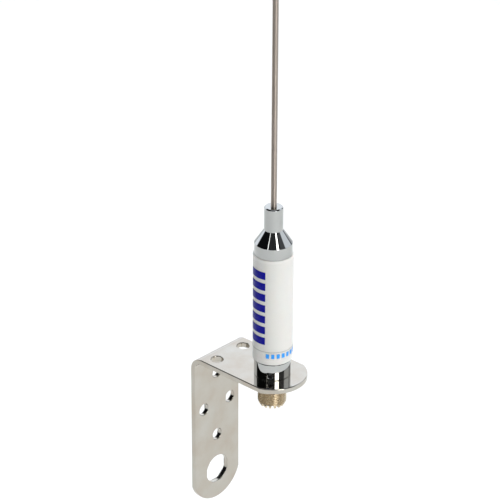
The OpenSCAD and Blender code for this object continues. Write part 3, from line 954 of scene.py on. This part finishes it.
def gold_contact():
    """Bronze contact under a thin gold flash: bright yellow, with scratches 0.3 mm apart."""
    material, tree, shader, at = new_material("gold_flashed_bronze", Metallic=1)
    pattern(tree, shader, at, 0.3, ("#c9a24e", "#e0bd68"), (0.15, 0.3), 0.003,
            stretch=(1, 1, 0.1))
    return material


def glass_epoxy():
    """Wound glass cloth in epoxy: greenish amber, with the tows 0.8 mm apart just showing."""
    material, tree, shader, at = new_material("glass_epoxy_tube", IOR=1.52)
    pattern(tree, shader, at, 0.8, ("#b3ad7c", "#c9c49a"), (0.3, 0.45), 0.02,
            stretch=(0.15, 0.15, 1))
    return material


def nitrile():
    """Moulded nitrile rubber: soft black, with a dusting of mould release, 0.6 mm grains."""
    material, tree, shader, at = new_material("nitrile_rubber")
    pattern(tree, shader, at, 0.6, ("#141414", "#232323"), (0.5, 0.7), 0.01)
    return material


def enamelled_copper():
    """Copper wire under clear enamel: reddish, with a hard gloss over the metal."""
    material, tree, shader, at = new_material("enamelled_copper", Metallic=1, Coat_Weight=0.6)
    # Marks of the drawing die, 0.4 mm across
    pattern(tree, shader, at, 0.4, ("#a4552f", "#bf6c40"), (0.25, 0.35), 0.004)
    return material


def plain_floor():
    """Seamless white studio paper, with a grain of 2 mm."""
    material, tree, shader, at = new_material("studio_paper")
    pattern(tree, shader, at, 2, ("#f3f3f1", "#f6f6f4"), (0.8, 0.9))
    return material


# ---- pieces ----

STEEL = polished_stainless()
CHROME = chrome()
WHIP = whip_steel()
NICKEL = nickel_brass()
BLACK = black_oxide()
VINYL = white_vinyl()
FILM = printed_film()
PTFE = ptfe()
GOLD = gold_contact()
EPOXY = glass_epoxy()
RUBBER = nitrile()
COPPER = enamelled_copper()

skin_to_piece("bent_bracket", bracket_skin(), STEEL, "bracket", ["bracket"],
              on_axis=False)
skin_to_piece("chromed_base", base_skin(), CHROME, "antenna", ["base"])
skin_to_piece("chromed_ferrule", ferrule_skin(), CHROME, "antenna", ["ferrule"])
skin_to_piece("threaded_shell", shell_skin(), NICKEL, "antenna",
              ["connector_shell"], sharp=64)
skin_to_piece("socket_insulator", insulator_skin(), PTFE, "antenna", ["front_insulator"])
skin_to_piece("socket_contact", contact_skin(), GOLD, "antenna",
              ["centre_contact"], sharp=35)
skin_to_piece("white_sleeve",
              ring_skin(SLEEVE_BORE_R, SLEEVE_R, BASE_H, SLEEVE_TOP, SLEEVE_EDGE), VINYL,
              "antenna", ["sleeve"])
skin_to_piece("printed_film", ring_skin(FILM_R - FILM_T, FILM_R, *FILM_Z, FILM_EDGE), FILM,
              "antenna", ["label_film"])
skin_to_piece("ground_whip", whip_skin(), WHIP, "whip", ["whip"])
skin_to_piece("base_set_screw",
              grub_skin(*BASE_GRUB, BASE_POCKET_FLOOR + FIT, BODY_R - GRUB_SINK), BLACK,
              "antenna", ["base_grub_screw"], sharp=35)
skin_to_piece("neck_set_screws",
              join(*(grub_skin(*place, NECK_POCKET_FLOOR + FIT, NECK_R - GRUB_SINK)
                     for place in NECK_GRUBS)),
              BLACK, "antenna", ["whip_grub_screws"], sharp=35)
skin_to_piece("wound_coil", coil_skin(), COPPER, "antenna", ["coil"])

for node, material in (("rear_insulator", PTFE), ("coil_former", PTFE),
                       ("insulator_ring", NICKEL), ("coil_housing", EPOXY),
                       ("lower_o_ring", RUBBER), ("upper_o_ring", RUBBER),
                       ("feed_lead", COPPER)):
    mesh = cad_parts[node].data
    mesh.materials.clear()
    mesh.materials.append(material)

# ---- studio ----
# Its lengths are metres, but for the camera's lens and sensor

# The camera looks down at the flange from its front right
CAMERA_PLACE = Vector((0.76711, -0.79158, 0.65294))
CAMERA_AIM = Vector((0.03611, -0.00853, 0.11204))
CAMERA_ROLL = 0.222
CAMERA_LENS = 161.64

camera_data = bpy.data.cameras.new("camera")
camera_data.lens = CAMERA_LENS
camera_data.sensor_width = 36
camera = bpy.data.objects.new("camera", camera_data)
look = (CAMERA_AIM - CAMERA_PLACE).to_track_quat("-Z", "Y").to_matrix()
camera.matrix_world = (Matrix.Translation(CAMERA_PLACE)
                       @ (look @ Matrix.Rotation(np.radians(CAMERA_ROLL), 3, "Z")).to_4x4())
bpy.context.scene.collection.objects.link(camera)
bpy.context.scene.camera = camera

# The bracket hangs on a wall, this far above the floor
FLOOR_GAP = 0.08
FLOOR_Z = BRACKET_LOW[2] * MM - FLOOR_GAP
# The floor reaches this far to each side, where the haze takes over
FLOOR_HALF = 40
floor_mesh = bpy.data.meshes.new("floor")
floor_mesh.from_pydata([(x * FLOOR_HALF, y * FLOOR_HALF, FLOOR_Z)
                        for x, y in ((-1, -1), (1, -1), (1, 1), (-1, 1))],
                       [], [(0, 1, 2, 3)])
floor = bpy.data.objects.new("floor", floor_mesh)
floor_mesh.materials.append(plain_floor())
bpy.context.scene.collection.objects.link(floor)

# Directions of the studio are measured round the antenna from the camera's side, positive
# towards the camera's right
FRONT = np.degrees(np.arctan2(CAMERA_PLACE.y, CAMERA_PLACE.x))
# The lights face a point on the axis, this far over the flange
AIM_HEIGHT = 0.04
CENTRE = Vector((AXIS[0] * MM, AXIS[1] * MM, FLANGE_TOP * MM + AIM_HEIGHT))


def direction(azimuth, elevation):
    """A unit vector from the antenna towards a direction of the studio."""
    a, e = np.radians(FRONT + azimuth), np.radians(elevation)
    return Vector((np.cos(a) * np.cos(e), np.sin(a) * np.cos(e), np.sin(e)))


def softbox(name, azimuth, elevation, distance, width, height, radiance, shape="RECTANGLE"):
    """A soft light that faces the antenna. Its power is radiance times width times height
    times pi, which leaves an ellipse brighter by 4 / pi. The camera doesn't see it, but
    polished metal does."""
    light = bpy.data.lights.new(name, "AREA")
    light.shape = shape
    light.size, light.size_y = width, height
    light.energy = radiance * width * height * np.pi
    lamp = bpy.data.objects.new(name, light)
    away = direction(azimuth, elevation)
    lamp.location = CENTRE + away * distance
    lamp.rotation_mode = "QUATERNION"
    lamp.rotation_quaternion = away.to_track_quat("Z", "Y")
    lamp.visible_camera = False
    bpy.context.scene.collection.objects.link(lamp)
    return lamp


softbox("key", 27, 25, 2.4, 0.9, 1.5, 6.5, "ELLIPSE")
softbox("thin_strip", -38, 43, 2.4, 0.14, 1.1, 3)

# Light that polished metal doesn't see, meant mostly for the floor: an even part from above, a
# box over the right of the antenna's front, and a large one behind it
overhead = bpy.data.lights.new("overhead", "SUN")
overhead.energy = 0.5
overhead.angle = np.radians(70)
sun = bpy.data.objects.new("overhead", overhead)
bpy.context.scene.collection.objects.link(sun)
right_box = softbox("right_box", 50, 58, 0.8, 0.35, 0.35, 6.5)
back_box = softbox("back_box", 180, 50, 2, 1.6, 1.6, 2.4)
for lamp in (sun, right_box, back_box):
    lamp.visible_glossy = False

# The room's walls, as (from, to, radiance) round the antenna: pale ones behind it and at its
# right, and a dark half behind the camera. Each blends into the next over WALL_BLEND degrees
WALLS = ((-180, -114, 1.6), (-114, -32, 0.01), (-32, 46, 0.06), (46, 77, 0.13),
         (77, 124, 1.3), (124, 136, 0.01), (136, 180, 1.7))
WALL_BLEND = 5
# The walls end at one height, as the sine of the elevation, and the ceiling begins at another;
# each fades over its own share of height to both sides
WALL_TOP = 0.7
WALL_FADE = 0.08
CEILING_FOOT = 0.85
CEILING_FADE = 0.06
CEILING = 0.35
# Radiance of the floor's far part and the haze over it, which fades out between two heights
HORIZON = 0.9
HAZE_FOOT = 0.02
HAZE_TOP = 0.09

world = bpy.data.worlds.new("studio")
bpy.context.scene.world = world
world.use_nodes = True


def room(tree):
    """The room's light by direction: the walls of the table, or the ceiling above them, or
    the horizon's haze, whichever is brightest."""
    coords = add(tree, "ShaderNodeTexCoord")
    faced = add(tree, "ShaderNodeMapping", {"Vector": coords.outputs["Generated"],
                                            "Rotation": (0, 0, -np.radians(FRONT))})
    parts = add(tree, "ShaderNodeSeparateXYZ", {"Vector": faced}).outputs
    turned_by = add(tree, "ShaderNodeMath", {0: parts["Y"], 1: parts["X"]}, operation="ARCTAN2")
    azimuth = add(tree, "ShaderNodeMath", {0: turned_by}, operation="DEGREES")
    light = WALLS[0][2]
    for (_, _, before), (start, _, radiance) in zip(WALLS, WALLS[1:]):
        rise = add(tree, "ShaderNodeMapRange",
                   {"Value": azimuth, "From Min": start - WALL_BLEND / 2,
                    "From Max": start + WALL_BLEND / 2, "To Min": 0, "To Max": radiance - before},
                   interpolation_type="SMOOTHSTEP")
        light = add(tree, "ShaderNodeMath", {0: light, 1: rise}, operation="ADD")
    share = add(tree, "ShaderNodeMapRange",
                {"Value": parts["Z"], "From Min": WALL_TOP - WALL_FADE,
                 "From Max": WALL_TOP + WALL_FADE, "To Min": 1, "To Max": 0},
                interpolation_type="SMOOTHSTEP")
    walls = add(tree, "ShaderNodeMath", {0: light, 1: share}, operation="MULTIPLY")
    ceiling = add(tree, "ShaderNodeMapRange",
                  {"Value": parts["Z"], "From Min": CEILING_FOOT - CEILING_FADE,
                   "From Max": CEILING_FOOT + CEILING_FADE, "To Min": 0, "To Max": CEILING},
                  interpolation_type="SMOOTHSTEP")
    upper = add(tree, "ShaderNodeMath", {0: walls, 1: ceiling}, operation="MAXIMUM")
    haze = add(tree, "ShaderNodeMapRange",
               {"Value": parts["Z"], "From Min": HAZE_FOOT, "From Max": HAZE_TOP,
                "To Min": HORIZON, "To Max": 0}, interpolation_type="SMOOTHSTEP")
    strength = add(tree, "ShaderNodeMath", {0: upper, 1: haze}, operation="MAXIMUM")
    background = add(tree, "ShaderNodeBackground",
                     {"Color": linear("#f1f6ff"), "Strength": strength})
    add(tree, "ShaderNodeOutputWorld", {"Surface": background})


world.node_tree.nodes.clear()
room(world.node_tree)

bpy.context.scene.view_settings.view_transform = "Standard"
